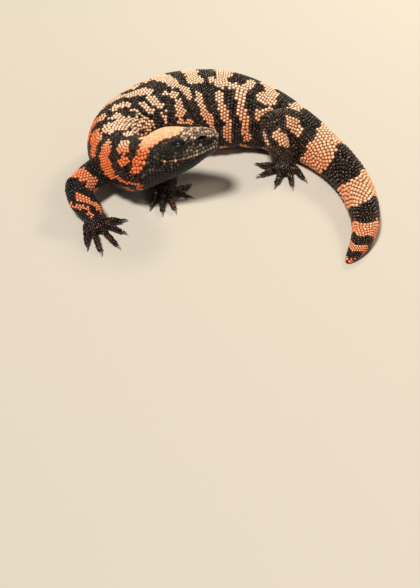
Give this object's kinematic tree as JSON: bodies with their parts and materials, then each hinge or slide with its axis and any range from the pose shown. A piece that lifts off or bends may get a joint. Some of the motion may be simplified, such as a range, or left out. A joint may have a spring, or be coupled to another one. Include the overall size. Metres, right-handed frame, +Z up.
{
  "type": "gila monster",
  "caption": "Life-size still model of a gila monster, a stout venomous desert lizard with beaded pink and black hide, lying in a curl with its head raised and turned back.",
  "frame": {"origin": "on the floor, under the belly's flat at mid trunk", "axes": "+Z up; +X along the trunk towards the tail, the longest side of the box; -Y towards the side that the head is turned to, where the picture is taken from"},
  "size_m": [0.2811, 0.2563, 0.0789],
  "materials": {
    "beaded_hide_pink": "beaded scales in pale peach to orange-red, satin",
    "beaded_hide_black": "beaded scales in brown-black, satin",
    "horn": "dark horn that pales to ivory at the tip, smooth",
    "eye": "wet and dark, with a brown iris",
    "eardrum": "thin dark skin, satin"
  },
  "bodies": {
    "root": {"head": "beaded_hide_pink", "neck": "beaded_hide_pink", "trunk_front": "beaded_hide_pink", "trunk_middle": "beaded_hide_pink", "trunk_rear": "beaded_hide_pink", "thigh_left": "beaded_hide_pink", "thigh_right": "beaded_hide_pink", "upper_arm_left": "beaded_hide_pink", "upper_arm_right": "beaded_hide_pink", "lower_jaw": "beaded_hide_black", "tail_base": "beaded_hide_black", "tail_middle": "beaded_hide_black", "tail_tip": "beaded_hide_black", "shin_left": "beaded_hide_black", "shin_right": "beaded_hide_black", "forearm_left": "beaded_hide_black", "forearm_right": "beaded_hide_black", "front_foot_left": "beaded_hide_black", "front_foot_right": "beaded_hide_black", "hind_foot_left": "beaded_hide_black", "hind_foot_right": "beaded_hide_black", "claw_front_left_1": "horn", "claw_front_left_2": "horn", "claw_front_left_3": "horn", "claw_front_left_4": "horn", "claw_front_left_5": "horn", "claw_front_right_1": "horn", "claw_front_right_2": "horn", "claw_front_right_3": "horn", "claw_front_right_4": "horn", "claw_front_right_5": "horn", "claw_hind_left_1": "horn", "claw_hind_left_2": "horn", "claw_hind_left_3": "horn", "claw_hind_left_4": "horn", "claw_hind_left_5": "horn", "claw_hind_right_1": "horn", "claw_hind_right_2": "horn", "claw_hind_right_3": "horn", "claw_hind_right_4": "horn", "claw_hind_right_5": "horn", "eye_left": "eye", "eye_right": "eye", "eardrum_left": "eardrum", "eardrum_right": "eardrum"}
  },
  "joints": []
}
